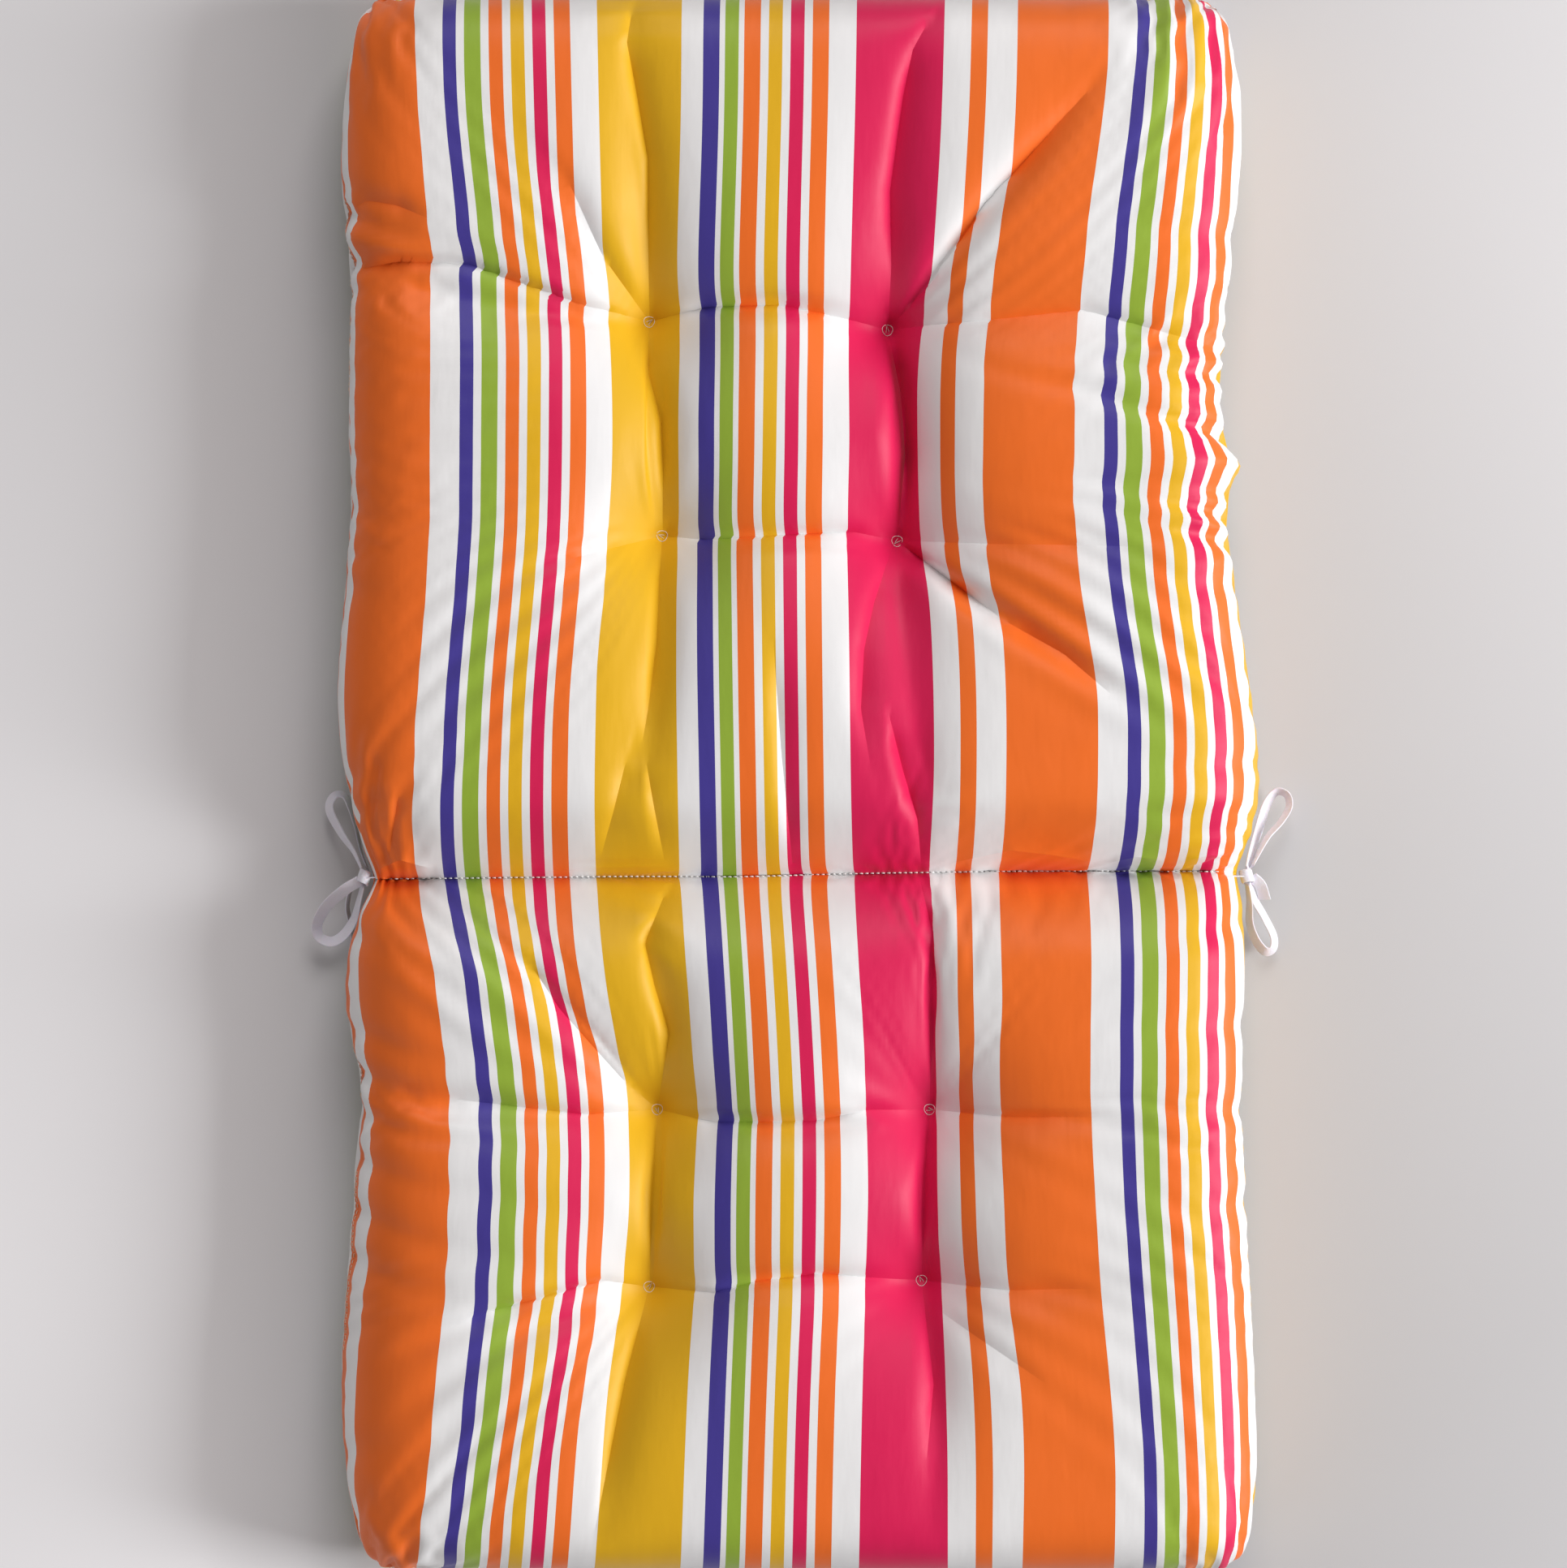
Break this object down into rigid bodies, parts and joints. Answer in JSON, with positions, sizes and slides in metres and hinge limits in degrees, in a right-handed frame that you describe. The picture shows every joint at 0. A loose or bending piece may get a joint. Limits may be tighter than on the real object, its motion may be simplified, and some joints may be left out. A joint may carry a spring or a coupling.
{
  "type": "adirondack chair cushion",
  "caption": "Tufted outdoor chair cushion in one striped cover, sewn across at the fold between back and seat, with a bow of white tape at each end of the fold.",
  "frame": {"origin": "on the floor, under the middle of the cushion as it lies on its back", "axes": "+X across the cushion to its right side, +Y along it to the top of the chair back, +Z out of the tufted face"},
  "size_m": [0.6149, 0.975, 0.099],
  "materials": {
    "striped_cloth": "smooth woven polyester with a soft sheen, striped orange, white, blue, green, yellow and pink along the cushion",
    "white_tape": "matt white woven tape"
  },
  "bodies": {
    "root": {"cushion": "striped_cloth", "tie_left": "white_tape", "tie_right": "white_tape"}
  },
  "joints": []
}
